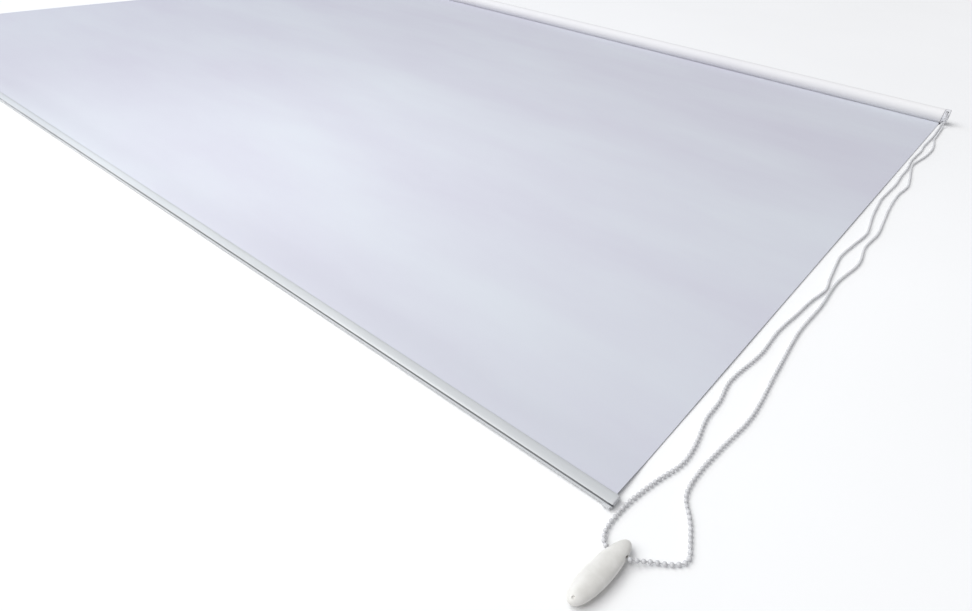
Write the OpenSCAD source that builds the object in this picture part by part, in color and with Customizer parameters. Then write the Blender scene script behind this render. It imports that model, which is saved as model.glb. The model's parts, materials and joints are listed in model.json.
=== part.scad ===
// Roller blind with a side chain, lying flat on its back as it comes out of the box:
// X runs along the roller towards the chain end, Y from the bottom bar to the roller, Z up from the floor.

/* [Blind] */
// Width of the fabric, and of the tube and bottom bar
fabric_w = 2100; // [1200:10:2200]
// From the bottom bar's outer edge to the roller's axis
drop = 1533; // [1533:1:1700]
// Thickness of the fabric
fabric_t = 0.5; // [0.4:0.05:0.6]

/* [Roller] */
// Outer radius of the aluminium tube
tube_r = 14; // [13.9:0.1:14.2]
// Wall of the tube
tube_wall = 1.2; // [1.1:0.1:1.3]
// Outer radius of the fabric that stays wound on the tube
roll_r = 16.7; // [16:0.1:16.9]

/* [Control end] */
// Radius of the round chain housing
housing_r = 17.2; // [17.2:0.1:17.6]
// Length of the chain housing along the roller
housing_l = 11; // [11:0.1:12]
// Wall of the chain housing
housing_wall = 1.4; // [1.2:0.1:1.6]
// Pockets for beads round the chain wheel
wheel_teeth = 12; // [12]

/* [Idle end] */
// Radius of the spring-loaded pin
pin_r = 2.5; // [2.4:0.1:2.6]
// How far the pin stands out past the fabric's edge
pin_out = 12; // [12]

/* [Bottom bar] */
// Depth of the bar, from its outer edge to the fabric
bar_depth = 16.4; // [16:0.1:16.8]
// Thickness of the bar
bar_thick = 7.6; // [7.4:0.1:7.8]
// How far an end cap stands out past the bar
cap_out = 4.5; // [4:0.1:4.8]

/* [Chain] */
// Diameter of a bead
bead_d = 4.5; // [4.3:0.1:4.6]
// Distance from bead to bead
bead_pitch = 6; // [5.9:0.05:6.1]

/* [Chain weight] */
// Length of the weight
weight_l = 80; // [79:1:82]
// Width of the weight
weight_w = 22.4; // [22:0.1:22.8]
// Thickness of the weight
weight_t = 14; // [14:0.1:14.4]

/* [Hidden] */
$fn = 96;

edge_x = fabric_w / 2;
front_y = -(drop + housing_r) / 2;
axis_y = front_y + drop;
axis_z = housing_r;
slip = 0.2;
run = 0.05;

// Tube and its inner ribs
tube_in = tube_r - tube_wall;
rib_w = 2;
rib_h = 1.5;
tape_t = 0.25;
tape_arc = 40;

// Chain housing, measured outwards from the fabric's edge
cover_u = 1;
cover_t = 1.4;
cover_hole = 10.4;
wall_u = cover_u + housing_l;
wall_t = 1.4;
wheel_u = cover_u + 5.5;
wheel_w = 6.4;
bead_r = bead_d / 2;
pitch_r = bead_pitch / (2 * sin(180 / wheel_teeth));
wheel_r = pitch_r + 1;
pocket_r = bead_r + slip;
mouth_w = bead_d + 1.2;

// Fixed core that the wheel and the adapter turn on
spigot_r = 7;
thrust_r = 8.6;
thrust_t = 0.7;
journal_r = 6.5;
seat_r = 5.5;
stub_r = 3.5;
seat_end = 27;
stub_end = 33;
socket_r = 4;
socket_l = 9;
key_w = 2;
key_r = 5.2;

// Dogs on the wheel and lugs in the adapter
dog_r = 9.4;
dog_in = 7.4;
dog_l = 5;
dog_arc = 60;
adapter_l = 44;
adapter_wall = 3;
spring_wire = 1;
spring_turns = 7;

// Idle end, measured outwards from the fabric's edge
plug_l = 38;
plug_flange = 1.5;
bearing_r = 6;
collar_r = 8;
collar_t = 1;
chamber_r = 4.2;
chamber_u = -3;
seat_u = -32;
pin_head_t = 1.8;
pin_tail = 1.9;
pin_shank = 2.8;
pin_base = plug_flange + slip + collar_t;
coil_r = 3.2;
coil_wire = 0.7;
coil_turns = 8;

// Bottom bar
bar_a = bar_depth / 2;
bar_b = bar_thick / 2;
skirt_out = 2;
skirt_l = 4;
bar_y = front_y + skirt_out + bar_a;
bar_z = bar_b;
slot_y = bar_a - 3.2;
hollow = [3.2, 2.3];
hollow_y = -0.6;
slot_r = 1.8;
spline_r = 1.2;
ramp_l = 60;

// Chain route, hand laid: each point is [past the fabric's edge, from the bar's outer edge, height]
lie = 2.3;
hang_low = axis_z - pitch_r;
hang_high = axis_z + pitch_r;
inner_route = [
    [6.5, 1521, hang_low], [6.7, 1508, 4.2], [7.6, 1490, lie], [9, 1440, lie], [10, 1400, lie],
    [9, 1350, lie], [8, 1300, lie], [10, 1265, lie], [8, 1205, lie], [8, 1180, lie],
    [12, 1125, lie], [12, 1080, lie], [14, 1020, lie], [12, 960, lie], [11, 925, lie],
    [14, 880, lie], [18, 835, lie], [27, 772, lie], [28, 748, lie], [23, 695, lie],
    [19, 645, lie], [21, 618, lie], [28, 558, lie], [32, 528, lie], [26, 482, lie],
    [23, 440, lie], [18, 380, lie], [19, 320, lie], [12, 245, lie], [17, 205, lie],
    [18, 170, lie], [26, 125, lie], [27, 95, lie], [19, 60, lie], [12, 20, lie],
    [11, -8, lie], [13, -22, 2.6], [18, -32, 4.6], [25, -37, 7]
];
outer_route = [
    [6.5, 1521, hang_high], [6.7, 1514, 27.6], [7.6, 1507, 22], [9.6, 1502, 14], [11.6, 1496, 6.5],
    [13, 1486, lie], [14, 1455, lie], [15, 1410, lie], [16, 1375, lie], [22, 1340, lie],
    [26, 1295, lie], [24, 1240, lie], [17, 1183, lie], [15, 1160, lie], [19, 1125, lie],
    [28, 1070, lie], [33, 1025, lie], [29, 970, lie], [31, 900, lie], [37, 830, lie],
    [42, 770, lie], [39, 705, lie], [46, 642, lie], [38, 560, lie], [40, 480, lie],
    [38, 400, lie], [45, 300, lie], [52, 207, lie], [46.5, 138, lie], [43.8, 92, lie],
    [47.5, 62, lie], [62, 40, lie], [73, 17.5, lie], [78.3, 2, lie], [71.5, -9, lie],
    [57, -20, 3.2], [48, -29, 5.6], [40, -35, 7], [32, -38.5, 7], [25, -37, 7]
];

// Chain weight, lying beside the bar's end
weight_x = edge_x + 30.6;
weight_y = front_y - 58.4;
weight_turn = -4.5;
weight_wall = 1.8;
tunnel_r = 3;
ballast_r = 3.6;
ballast_l = 34;
ballast_y = -27;
screw_y = -36;
screw_r = 1;
screw_head = 1.9;
dimple_r = 1.4;
dimple_z = 2.9;

// A turned piece: children lie along +Z from u, measured outwards from the fabric's edge
module on_axis(u) {
    translate([edge_x + u, axis_y, axis_z]) rotate([0, 90, 0]) children();
}

module at_idle_end() {
    mirror([1, 0, 0]) children();
}

module ring(r_out, r_in, u0, u1) {
    on_axis(u0) difference() {
        cylinder(r = r_out, h = u1 - u0);
        translate([0, 0, -1]) cylinder(r = r_in, h = u1 - u0 + 2);
    }
}

// A wedge about the roller's axis, for dogs and lugs
module wedge(r, u0, u1, from, to) {
    on_axis(u0) rotate([0, 0, from]) rotate_extrude(angle = to - from) square([r, u1 - u0]);
}

// Children are a section in Y and Z, run along X
module along_width(x0, length) {
    translate([x0, 0, 0]) rotate([90, 0, 90]) linear_extrude(length) children();
}

// Tube, cord or wire along a path that is never upright: rings of points, then quads and two ends
function unit(v) = v / norm(v);
function heading(path, i) =
    unit(path[min(i + 1, len(path) - 1)] - path[max(i - 1, 0)]);
function ring_at(path, i, r, sides) =
    let (t = heading(path, i), side = unit(cross(t, [0, 0, 1])), top = cross(side, t))
    [for (k = [0 : sides - 1])
        let (a = (k + 0.5) * 360 / sides) path[i] + r * (cos(a) * side + sin(a) * top)];
function skin(rings, sides) = [
    for (i = [0 : rings - 2]) for (k = [0 : sides - 1])
        let (n = (k + 1) % sides)
        [i * sides + k, i * sides + n, (i + 1) * sides + n, (i + 1) * sides + k]
];
function lids(rings, sides) = [
    [for (k = [sides - 1 : -1 : 0]) k],
    [for (k = [0 : sides - 1]) (rings - 1) * sides + k]
];

module sweep(path, r, sides) {
    rings = len(path);
    points = [for (i = [0 : rings - 1]) each ring_at(path, i, r, sides)];
    polyhedron(points, concat(skin(rings, sides), lids(rings, sides)), convexity = 10);
}

// Wire coil about Z, from z = 0 up
module coil(r, wire_r, turns, height) {
    steps = 16;
    path = [for (i = [0 : turns * steps])
        let (a = i * 360 / steps) [r * cos(a), r * sin(a), height * i / (turns * steps)]];
    sweep(path, wire_r, 6);
}

// ---- Control end: stays with the bracket ----

module mouth(side) {
    on_axis(wheel_u) translate([side * pitch_r, -housing_r, 0])
        cube([mouth_w, 2 * housing_r, mouth_w], center = true);
}

module control_housing() {
    color("#d9d9de") difference() {
        on_axis(cover_u + cover_t) rotate_extrude() difference() {
            union() {
                square([housing_r, housing_l - cover_t - 1]);
                square([housing_r - 1, housing_l - cover_t]);
                translate([housing_r - 1, housing_l - cover_t - 1]) circle(r = 1, $fn = 32);
            }
            translate([0, -1]) square([housing_r - housing_wall, housing_l - cover_t - wall_t + 1]);
            square([spigot_r, 2 * housing_l]);
        }
        mouth(-1);
        mouth(1);
    }
}

module housing_cover() {
    color("#d4d4da") {
        ring(housing_r, cover_hole, cover_u, cover_u + cover_t);
        ring(housing_r - housing_wall, housing_r - 2 * housing_wall, cover_u + cover_t, wheel_u - mouth_w / 2);
    }
}

module control_core() {
    color("#c9cacd") difference() {
        on_axis(-stub_end) rotate_extrude() polygon([
            [0, 0], [stub_r, 0], [stub_r, stub_end - seat_end], [seat_r, stub_end - seat_end],
            [seat_r, stub_end + cover_u + 1], [journal_r, stub_end + cover_u + 1],
            [journal_r, stub_end + wall_u - wall_t - thrust_t], [thrust_r, stub_end + wall_u - wall_t - thrust_t],
            [thrust_r, stub_end + wall_u - wall_t], [spigot_r, stub_end + wall_u - wall_t],
            [spigot_r, stub_end + wall_u], [0, stub_end + wall_u]
        ]);
        on_axis(wall_u - socket_l) cylinder(r = socket_r, h = socket_l + 1);
        on_axis(wall_u - socket_l) translate([-key_w / 2, -key_r, 2]) cube([key_w, 2 * key_r, socket_l]);
        on_axis(-stub_end - 1) cylinder(r = 1.2, h = 10, $fn = 32);
    }
}

module brake_springs() {
    coil_h = (seat_end - dog_l - 4) / 2 - spring_wire;
    color("#9a9ca0") for (u = [-seat_end + 1, -seat_end + coil_h + 3])
        on_axis(u) coil(seat_r + spring_wire / 2 + 2 * run, spring_wire / 2, spring_turns, coil_h);
}

module core_washer() {
    color("#b4b6ba") ring(stub_r + 2, 1.3, -stub_end - 0.8, -stub_end);
}

module core_screw() {
    color("#8f9196") {
        on_axis(-stub_end - 2.8) difference() {
            cylinder(r = 2.8, h = 2);
            translate([0, 0, -1]) cylinder(r = 1.6, h = 2, $fn = 6);
        }
        on_axis(-stub_end - 0.8) cylinder(r = 1.2, h = 9.5, $fn = 32);
    }
}

// ---- Roller: tube, wound fabric and the two inserts ----

module rib_pair(grow, u0, u1) {
    on_axis(u0) for (side = [-1, 1])
        translate([side * (tube_in - rib_h / 2 + 0.2), 0, (u1 - u0) / 2])
            cube([rib_h + 0.4 + grow, rib_w + grow, u1 - u0], center = true);
}

module roller_tube() {
    color("#c3c5c8") {
        ring(tube_r, tube_in, -fabric_w, 0);
        intersection() {
            rib_pair(0, -fabric_w, 0);
            on_axis(-fabric_w) cylinder(r = tube_in + 0.1, h = fabric_w);
        }
    }
}

module tape_arc(grow) {
    on_axis(-fabric_w + 2) rotate([0, 0, 60]) rotate_extrude(angle = tape_arc)
        translate([tube_r, 0]) square([tape_t + grow, fabric_w - 4]);
}

module fabric_tape() {
    color("#f2efe4") tape_arc(0);
}

module fabric_roll() {
    color("#ececf1") difference() {
        ring(roll_r, tube_r, -fabric_w, 0);
        tape_arc(0);
    }
}

module drive_adapter() {
    spring_room = seat_r + 2.2;
    color("#bfc0c4") {
        difference() {
            on_axis(-adapter_l) rotate_extrude() difference() {
                union() {
                    square([tube_in, adapter_l]);
                    translate([0, adapter_l]) square([tube_r, cover_u - slip]);
                }
                translate([0, -1]) square([tube_in - adapter_wall, adapter_l - stub_end + 1.8]);
                translate([0, adapter_l - stub_end - 1]) square([stub_r + run, 8]);
                translate([0, adapter_l - seat_end - slip]) square([spring_room, seat_end + 2]);
                translate([0, adapter_l - dog_l - slip]) square([dog_r + slip, dog_l + 2]);
            }
            rib_pair(slip, -adapter_l - 1, 0);
        }
        intersection() {
            ring(dog_r + slip + 0.1, dog_in, -dog_l - slip - 0.1, -slip);
            union() for (turn = [0, 180])
                wedge(dog_r + 2, -dog_l - 1, 0, turn + dog_arc / 2 + 4, turn + 180 - dog_arc / 2 - 4);
        }
    }
}

module idle_plug() {
    color("#d0d0d5") at_idle_end() difference() {
        on_axis(-plug_l) rotate_extrude() difference() {
            union() {
                square([tube_in, plug_l]);
                translate([0, plug_l]) square([housing_r - 0.4, plug_flange]);
                translate([0, plug_l]) square([housing_r, plug_flange - 0.4]);
            }
            translate([0, -1]) square([bearing_r, plug_l + plug_flange + 2]);
        }
        rib_pair(slip, -plug_l - 1, 0);
    }
}

// ---- Chain wheel and the beads lying in it ----

module chain_wheel() {
    w0 = wheel_u - wheel_w / 2;
    color("#e4e4e8") {
        difference() {
            ring(wheel_r, journal_r + run, w0, w0 + wheel_w);
            on_axis(wheel_u) rotate_extrude() translate([pitch_r - 0.9, -0.8]) square([4, 1.6]);
            for (k = [0 : wheel_teeth - 1])
                on_axis(wheel_u) rotate([0, 0, k * 360 / wheel_teeth]) translate([pitch_r, 0, 0])
                    cylinder(r = pocket_r, h = 2 * pocket_r, center = true, $fn = 32);
        }
        ring(dog_r, dog_in, cover_u - 0.5, w0 + 0.1);
        intersection() {
            ring(dog_r, dog_in, -dog_l, cover_u);
            union() for (turn = [0, 180])
                wedge(dog_r + 2, -dog_l - 1, cover_u + 1, turn - dog_arc / 2, turn + dog_arc / 2);
        }
    }
}

module chain_on_wheel() {
    half = wheel_teeth / 2;
    color("#f0f0f2") {
        for (k = [0 : half])
            on_axis(wheel_u) rotate([0, 0, k * 360 / wheel_teeth]) translate([pitch_r, 0, 0])
                sphere(r = bead_r, $fn = 32);
        on_axis(wheel_u) rotate_extrude(angle = 180) translate([pitch_r, 0]) circle(r = 0.6, $fn = 16);
    }
}

// ---- Idle end: bearing, spring and pin ----

module idle_bearing() {
    color("#dcdce0") at_idle_end() on_axis(-plug_l - 2) rotate_extrude() difference() {
        union() {
            square([bearing_r - run, plug_l + 2 + plug_flange + slip]);
            translate([0, plug_l + 2 + plug_flange + slip]) square([collar_r, collar_t]);
        }
        translate([0, plug_l + 2 + seat_u - 5]) square([chamber_r, chamber_u - seat_u + 5]);
        square([pin_shank + run, plug_l + 10]);
        translate([bearing_r - 0.8, 0.6]) square([2, 0.8]);
    }
}

module idle_circlip() {
    color("#8d9095") at_idle_end() difference() {
        ring(bearing_r + 1.6, bearing_r - 0.8, -plug_l - 1.4, -plug_l - 0.6);
        on_axis(-plug_l - 2) translate([0, -1, 0]) cube([10, 2, 3]);
    }
}

module spring_seat() {
    color("#b9bbbf") at_idle_end() ring(chamber_r, pin_tail + slip, seat_u - 3, seat_u);
}

module idle_spring() {
    length = chamber_u - pin_head_t - seat_u - 2 * coil_wire;
    color("#9fa2a6") at_idle_end() on_axis(seat_u + coil_wire)
        coil(coil_r, coil_wire / 2, coil_turns, length);
}

module idle_pin() {
    color("#c4c6ca") at_idle_end() on_axis(chamber_u - 22) rotate_extrude() polygon([
        [0, 0], [pin_tail, 0], [pin_tail, 22 - pin_head_t], [chamber_r - slip, 22 - pin_head_t],
        [chamber_r - slip, 22 - run], [pin_shank, 22 - run], [pin_shank, 22 - chamber_u + pin_base],
        [pin_r, 22 - chamber_u + pin_base], [pin_r, 22 - chamber_u + pin_out - 0.8],
        [pin_r - 0.8, 22 - chamber_u + pin_out], [0, 22 - chamber_u + pin_out]
    ]);
}

// ---- Bottom bar ----

function oval(a, b) = [for (i = [0 : 59])
    let (c = cos(i * 6), s = sin(i * 6))
    [a * sign(c) * pow(abs(c), 0.8), b * sign(s) * pow(abs(s), 0.8)]];

module groove_cut() {
    translate([-0.87 * bar_a, 0.58 * bar_b]) rotate(40) square([1.5, 5.2], center = true);
}

module bar_section() {
    difference() {
        polygon(oval(bar_a, bar_b));
        translate([hollow_y, 0]) polygon(oval(hollow[0], hollow[1]));
        translate([slot_y, 0]) circle(r = slot_r, $fn = 32);
        translate([slot_y, -0.6]) square([bar_a, 1.2]);
        groove_cut();
    }
}

module bar_profile() {
    color("#dcdddf") translate([0, bar_y, bar_z]) along_width(-edge_x, fabric_w) bar_section();
}

module bar_end_cap() {
    color("#d3d4d6") translate([0, bar_y, bar_z]) {
        along_width(edge_x, cap_out - 1.2) difference() {
            polygon(oval(bar_a, bar_b));
            groove_cut();
        }
        along_width(edge_x + cap_out - 1.2, 0.7) polygon(oval(bar_a - 0.4, bar_b - 0.4));
        along_width(edge_x + cap_out - 0.5, 0.5) polygon(oval(bar_a - 0.9, bar_b - 0.9));
        along_width(edge_x - 12, 12.1) translate([hollow_y, 0]) polygon(oval(hollow[0], hollow[1]));
        along_width(edge_x - skirt_l, skirt_l + cap_out - 1.2) difference() {
            intersection() {
                translate([-skirt_out / 2, 0]) polygon(oval(bar_a + skirt_out / 2, bar_b + 0.4));
                translate([-bar_a - skirt_out, -bar_b]) square([3.2 + skirt_out, bar_b + 0.9]);
            }
            polygon(oval(bar_a, bar_b));
        }
    }
}

module bar_end_cap_right() {
    bar_end_cap();
}

module bar_end_cap_left() {
    mirror([1, 0, 0]) bar_end_cap();
}

module fabric_spline() {
    color("#e8e6dd") translate([0, bar_y, bar_z]) along_width(-edge_x + 13, fabric_w - 26)
        translate([slot_y, 0]) circle(r = spline_r, $fn = 24);
}

module fabric_sheet() {
    floor_z = axis_z - roll_r;
    roll_y = axis_y - sqrt(pow(roll_r, 2) - pow(roll_r - fabric_t, 2)) - 0.3;
    bar_edge = bar_y + bar_a;
    inside = bar_y + slot_y + slot_r - 0.4;
    color("#e6e6ef") along_width(-edge_x + 0.2, fabric_w - 0.4) polygon([
        [roll_y, floor_z + fabric_t], [bar_edge + ramp_l, floor_z + fabric_t],
        [bar_edge + 0.5 * ramp_l, 0.45 * bar_z + fabric_t], [bar_edge + 4, bar_z + fabric_t / 2],
        [inside, bar_z + fabric_t / 2], [inside, bar_z - fabric_t / 2],
        [bar_edge + 4, bar_z - fabric_t / 2], [bar_edge + 0.5 * ramp_l, 0.45 * bar_z],
        [bar_edge + ramp_l, floor_z], [roll_y, floor_z]
    ]);
}

// ---- Chain ----

function placed(route) = [for (p = route) [edge_x + p[0], front_y + p[1], p[2]]];

module chain_strand_inner() {
    color("#ededf0") sweep(placed(inner_route), bead_r, 8);
}

module chain_strand_outer() {
    color("#ededf0") sweep(placed(outer_route), bead_r, 8);
}

// ---- Chain weight: two egg-shaped shells round a steel slug ----

function egg(s, half_w) = half_w * pow(max(1 - s * s, 0.0004), 0.42) * (1 - 0.12 * s) / 1.009;

module egg_solid(inset, rings, sides) {
    points = [for (i = [0 : rings - 1])
        let (s = -cos(i * 180 / (rings - 1)))
        for (k = [0 : sides - 1])
            let (a = k * 360 / sides)
            [egg(s, weight_w / 2 - inset) * cos(a), (weight_l / 2 - inset) * s,
             egg(s, weight_t / 2 - inset) * sin(a)]];
    polyhedron(points, concat(skin(rings, sides), lids(rings, sides)), convexity = 4);
}

module at_weight() {
    translate([weight_x, weight_y, weight_t / 2]) rotate([0, 0, weight_turn]) children();
}

module tunnel() {
    path = [for (i = [len(outer_route) - 4 : len(outer_route) - 1]) placed(outer_route)[i]];
    start = path[0] + 6 * unit(path[0] - path[1]);
    finish = placed(inner_route)[len(inner_route) - 2];
    sweep(concat([start], path, [path[3] + 6 * unit(finish - path[3])]), tunnel_r, 16);
}

module weight_blank(lower) {
    difference() {
        at_weight() difference() {
            egg_solid(0, 21, 28);
            difference() {
                egg_solid(weight_wall, 15, 20);
                translate([-weight_w, ballast_y + ballast_l + 0.5, -weight_t])
                    cube([2 * weight_w, weight_l, 2 * weight_t]);
                translate([0, screw_y, -weight_t]) cylinder(r = 2.6, h = 2 * weight_t, $fn = 24);
            }
            translate([-weight_w, -weight_l, lower ? 0 : -weight_t]) cube([2 * weight_w, 2 * weight_l, weight_t]);
            translate([0, screw_y, -20]) cylinder(r = screw_r, h = 22.2, $fn = 24);
            translate([0, screw_y, -21.4]) cylinder(r = screw_head + 0.3, h = 20, $fn = 24);
            translate([0, screw_y, dimple_z]) cylinder(r = dimple_r, h = 10, $fn = 24);
        }
        tunnel();
    }
}

module weight_upper_shell() {
    color("#dddcd8") weight_blank(false);
}

module weight_lower_shell() {
    color("#d6d5d1") weight_blank(true);
}

module weight_ballast() {
    color("#84868a") at_weight() translate([0, ballast_y, 0]) rotate([-90, 0, 0])
        cylinder(r = ballast_r, h = ballast_l);
}

module weight_screw() {
    color("#8d8f93") at_weight() translate([0, screw_y, 0]) difference() {
        union() {
            translate([0, 0, -1.5]) cylinder(r = screw_r, h = 3.5, $fn = 24);
            translate([0, 0, -2.4]) cylinder(r = screw_head, h = 1, $fn = 24);
        }
        translate([0, 0, -2.1]) cube([0.5, 2.4, 1.2], center = true);
    }
}

control_housing();
housing_cover();
control_core();
brake_springs();
core_washer();
core_screw();
roller_tube();
fabric_tape();
fabric_roll();
drive_adapter();
idle_plug();
chain_wheel();
chain_on_wheel();
idle_bearing();
idle_circlip();
spring_seat();
idle_spring();
idle_pin();
bar_profile();
bar_end_cap_right();
bar_end_cap_left();
fabric_spline();
fabric_sheet();
chain_strand_inner();
chain_strand_outer();
weight_upper_shell();
weight_lower_shell();
weight_ballast();
weight_screw();
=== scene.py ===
# %% [markdown]
# # A roller blind with a side chain
# The blind lies flat on its back: X runs along the roller towards the chain end, Y from the bottom bar to
# the roller, Z up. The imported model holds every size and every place, so it is loaded first and measured,
# and the pieces that need a better shape are modelled over it.

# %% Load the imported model
import json
from math import ceil, cos, pi, radians, sin, sqrt

import bmesh
import bpy
from mathutils import Matrix, Vector

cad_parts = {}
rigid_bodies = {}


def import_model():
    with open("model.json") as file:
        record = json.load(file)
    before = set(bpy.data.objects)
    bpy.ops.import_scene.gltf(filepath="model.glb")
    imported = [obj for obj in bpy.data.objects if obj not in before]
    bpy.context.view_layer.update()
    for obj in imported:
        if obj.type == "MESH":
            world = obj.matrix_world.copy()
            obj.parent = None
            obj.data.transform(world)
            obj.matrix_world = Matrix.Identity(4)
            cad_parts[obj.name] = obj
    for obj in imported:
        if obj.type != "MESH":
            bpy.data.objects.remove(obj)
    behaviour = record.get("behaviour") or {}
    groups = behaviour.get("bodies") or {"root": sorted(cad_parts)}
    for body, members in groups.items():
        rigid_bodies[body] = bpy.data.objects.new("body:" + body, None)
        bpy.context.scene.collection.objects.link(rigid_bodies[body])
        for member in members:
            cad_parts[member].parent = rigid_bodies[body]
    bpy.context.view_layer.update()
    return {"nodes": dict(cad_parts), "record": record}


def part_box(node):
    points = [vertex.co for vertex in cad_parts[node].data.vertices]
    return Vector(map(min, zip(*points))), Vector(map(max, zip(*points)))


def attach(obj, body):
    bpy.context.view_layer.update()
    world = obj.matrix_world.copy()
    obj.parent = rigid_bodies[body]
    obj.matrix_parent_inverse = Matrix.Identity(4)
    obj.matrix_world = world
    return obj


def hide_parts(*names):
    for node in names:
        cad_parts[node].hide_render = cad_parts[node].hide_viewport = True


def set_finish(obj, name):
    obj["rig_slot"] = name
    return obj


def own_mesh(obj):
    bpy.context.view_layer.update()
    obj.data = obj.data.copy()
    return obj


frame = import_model()

# %% [markdown]
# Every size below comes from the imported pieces' boxes, so the pieces modelled over them land in the right
# place.

# %% Sizes that several pieces share
MM = 0.001
roll_low, roll_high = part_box("fabric_roll")
tube_low, tube_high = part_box("roller_tube")
bar_low, bar_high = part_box("bar_profile")
front_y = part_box("bar_end_cap_right")[0].y
edge_x = roll_high.x
roll_r = (roll_high.z - roll_low.z) / 2
tube_r = (tube_high.z - tube_low.z) / 2
axis = Vector((0, (roll_low.y + roll_high.y) / 2, (roll_low.z + roll_high.z) / 2))
housing_r = axis.z
cloth_t = 0.5 * MM
bead_d = 4.5 * MM
bead_pitch = 6 * MM
print("fabric edge", edge_x, "axis", axis[:], "roll radius", roll_r, "bar front", front_y)

# %% [markdown]
# ## Camera
# A camera is three angles and a place: which way it looks round the object, how far down it looks, and how
# much it is tipped to one side. It stands low over the chain end of the bottom bar with a wide lens, which
# is why the bar looks so long on the left. The chain's route below was measured against this view.

# %% Camera
corner = Vector((edge_x, front_y, 0))
camera = bpy.data.objects.new("camera", bpy.data.cameras.new("camera"))
bpy.context.scene.collection.objects.link(camera)
turn, down, tip = radians(37.48), radians(35.26), radians(4.87)
aim = Matrix.Rotation(turn, 4, "Z") @ Matrix.Rotation(pi / 2 - down, 4, "X") @ Matrix.Rotation(tip, 4, "Z")
camera.matrix_world = Matrix.Translation(corner + Vector((129.5, -366.1, 470.1)) * MM) @ aim
camera.data.lens = 24.04
camera.data.clip_start = 0.01
bpy.context.scene.camera = camera
print("camera", camera.matrix_world.translation[:], "lens", camera.data.lens)

# %% [markdown]
# ## Helpers
# Operators act on whatever is selected, so every step starts by selecting one object alone, and then the
# faces it is about, by their place.


# %% Select, apply and finish
def only(obj):
    """Selects one object alone and makes it the active one."""
    if bpy.context.object and bpy.context.object.mode != "OBJECT":
        bpy.ops.object.mode_set(mode="OBJECT")
    bpy.ops.object.select_all(action="DESELECT")
    obj.select_set(True)
    bpy.context.view_layer.objects.active = obj
    return obj


def pick_faces(obj, test):
    """Opens edit mode with the faces selected whose middle and normal pass a test."""
    only(obj)
    bpy.ops.object.mode_set(mode="EDIT")
    bpy.ops.mesh.select_mode(type="FACE")
    bpy.ops.mesh.select_all(action="DESELECT")
    mesh = bmesh.from_edit_mesh(obj.data)
    for face in mesh.faces:
        face.select_set(test(face.calc_center_median(), face.normal))
    bmesh.update_edit_mesh(obj.data)


def pick_all(obj):
    """Opens edit mode with everything selected."""
    only(obj)
    bpy.ops.object.mode_set(mode="EDIT")
    bpy.ops.mesh.select_mode(type="VERT")
    bpy.ops.mesh.select_all(action="SELECT")


def modify(obj, kind, **settings):
    """Adds a modifier and applies it."""
    only(obj)
    modifier = obj.modifiers.new(kind.lower(), kind)
    for key, value in settings.items():
        setattr(modifier, key, value)
    bpy.ops.object.modifier_apply(modifier=modifier.name)
    return obj


def soften(obj, width, segments=2, angle=35):
    """Rounds the edges that are sharper than an angle, as every moulded or sawn edge is a little rounded."""
    return modify(obj, "BEVEL", width=width, segments=segments, limit_method="ANGLE",
                  angle_limit=radians(angle), harden_normals=False, miter_outer="MITER_ARC")


def cut(obj, *cutters):
    """Takes the cutters' shapes out of a piece, and removes the cutters."""
    for cutter in cutters:
        modify(obj, "BOOLEAN", operation="DIFFERENCE", object=cutter, solver="EXACT")
        bpy.data.objects.remove(cutter)
    return obj


def finish_piece(obj, name, body, slot, *nodes, angle=35):
    """Bakes a piece's place into its mesh, smooths it, names it and hands it to its body."""
    only(obj)
    bpy.ops.object.transform_apply(location=True, rotation=True, scale=True)
    bpy.ops.object.shade_smooth_by_angle(angle=radians(angle))
    obj.name = obj.data.name = name
    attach(obj, body)
    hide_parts(*nodes)
    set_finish(obj, slot)
    print(name, len(obj.data.polygons), "faces", [round(v * 1000, 1) for v in obj.dimensions], "mm")
    return obj


# %% [markdown]
# A turned piece is an outline spun once round the roller's axis. The outline is a circle primitive whose
# points are moved to the outline's corners, so that it is closed and the spin leaves no open edge.


# %% Turned and extruded pieces
def outline(points):
    """A closed ring of points from a circle primitive."""
    bpy.ops.mesh.primitive_circle_add(vertices=len(points), radius=1, location=(0, 0, 0))
    ring = bpy.context.object
    for vertex, point in zip(ring.data.vertices, points):
        vertex.co = point
    return ring


def turned(profile, steps=96):
    """Spins corners, given as (outwards from the fabric's edge, radius) in mm, round the roller's axis."""
    piece = outline([Vector((edge_x + u * MM, axis.y, axis.z + r * MM)) for u, r in profile])
    pick_all(piece)
    bpy.ops.mesh.spin(steps=steps, angle=2 * pi, center=axis, axis=(1, 0, 0))
    bpy.ops.mesh.select_all(action="SELECT")
    bpy.ops.mesh.remove_doubles(threshold=1e-6)
    bpy.ops.mesh.normals_make_consistent(inside=False)
    bpy.ops.object.mode_set(mode="OBJECT")
    return piece


def extruded(section, x0, x1):
    """Runs a closed section of (y, z) points along X."""
    piece = outline([Vector((x0, y, z)) for y, z in section])
    pick_all(piece)
    bpy.ops.mesh.edge_face_add()
    bpy.ops.mesh.extrude_region_move(TRANSFORM_OT_translate={"value": (x1 - x0, 0, 0)})
    bpy.ops.mesh.select_all(action="SELECT")
    bpy.ops.mesh.normals_make_consistent(inside=False)
    bpy.ops.object.mode_set(mode="OBJECT")
    return piece


def block(low, high):
    """A box between two corners, for cutting with."""
    low, high = Vector(low), Vector(high)
    bpy.ops.mesh.primitive_cube_add(size=1, location=(low + high) / 2)
    box = bpy.context.object
    box.scale = high - low
    only(box)
    bpy.ops.object.transform_apply(location=True, rotation=True, scale=True)
    return box


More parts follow.
